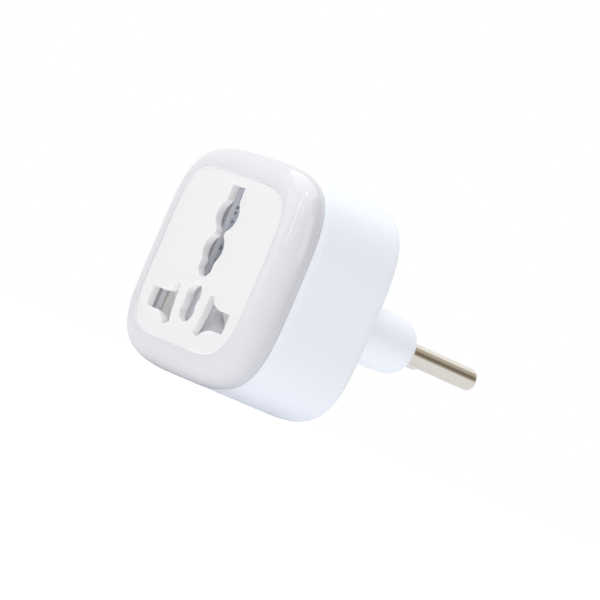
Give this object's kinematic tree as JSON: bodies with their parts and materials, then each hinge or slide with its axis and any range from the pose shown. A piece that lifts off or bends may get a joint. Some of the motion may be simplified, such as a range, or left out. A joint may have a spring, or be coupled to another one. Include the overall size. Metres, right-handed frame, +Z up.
{
  "type": "travel adapter",
  "caption": "Universal travel adapter: rounded square body with a multi-standard socket panel in front and round mains pins on a long boss behind.",
  "frame": {"origin": "on the surface that the adapter lies on, under the middle of its box", "axes": "+Z up, +X to the right of someone facing the socket panel, +Y from the panel towards the tips of the pins"},
  "size_m": [0.0474, 0.0666, 0.0475],
  "materials": {
    "panel_plastic": "fine matt, moulded",
    "bezel_plastic": "high gloss",
    "body_plastic": "satin",
    "inner_plastic": "as moulded",
    "shutter_plastic": "as moulded",
    "pin_nickel": "bright nickel plating on brass",
    "contact_brass": "rolled strip",
    "spring_steel": "drawn wire",
    "fastener_steel": "zinc plated"
  },
  "bodies": {
    "housing": {"socket_panel": "panel_plastic", "bezel": "bezel_plastic", "rear_housing": "body_plastic", "shutter_plate": "inner_plastic", "contact_carrier": "inner_plastic", "line_pin": "pin_nickel", "line_contact": "contact_brass", "line_shutter_spring": "spring_steel", "line_terminal_screw": "fastener_steel", "line_lock_washer": "fastener_steel", "neutral_pin": "pin_nickel", "neutral_contact": "contact_brass", "neutral_shutter_spring": "spring_steel", "neutral_terminal_screw": "fastener_steel", "neutral_lock_washer": "fastener_steel", "carrier_screw_1": "fastener_steel", "carrier_screw_2": "fastener_steel", "carrier_screw_3": "fastener_steel"},
    "line_shutter": {"line_shutter": "shutter_plastic"},
    "neutral_shutter": {"neutral_shutter": "shutter_plastic"}
  },
  "joints": [
    {"name": "line_shutter_slide", "type": "slide", "parent": "housing", "child": "line_shutter", "axis": [0, 0, 1], "range_m": [0, 0.0084], "stiffness_N_per_m": 60, "springref_m": -0.004, "deforming": ["line_shutter_spring"]},
    {"name": "neutral_shutter_slide", "type": "slide", "parent": "housing", "child": "neutral_shutter", "axis": [0, 0, 1], "range_m": [0, 0.0084], "stiffness_N_per_m": 60, "springref_m": -0.004, "deforming": ["neutral_shutter_spring"]}
  ]
}
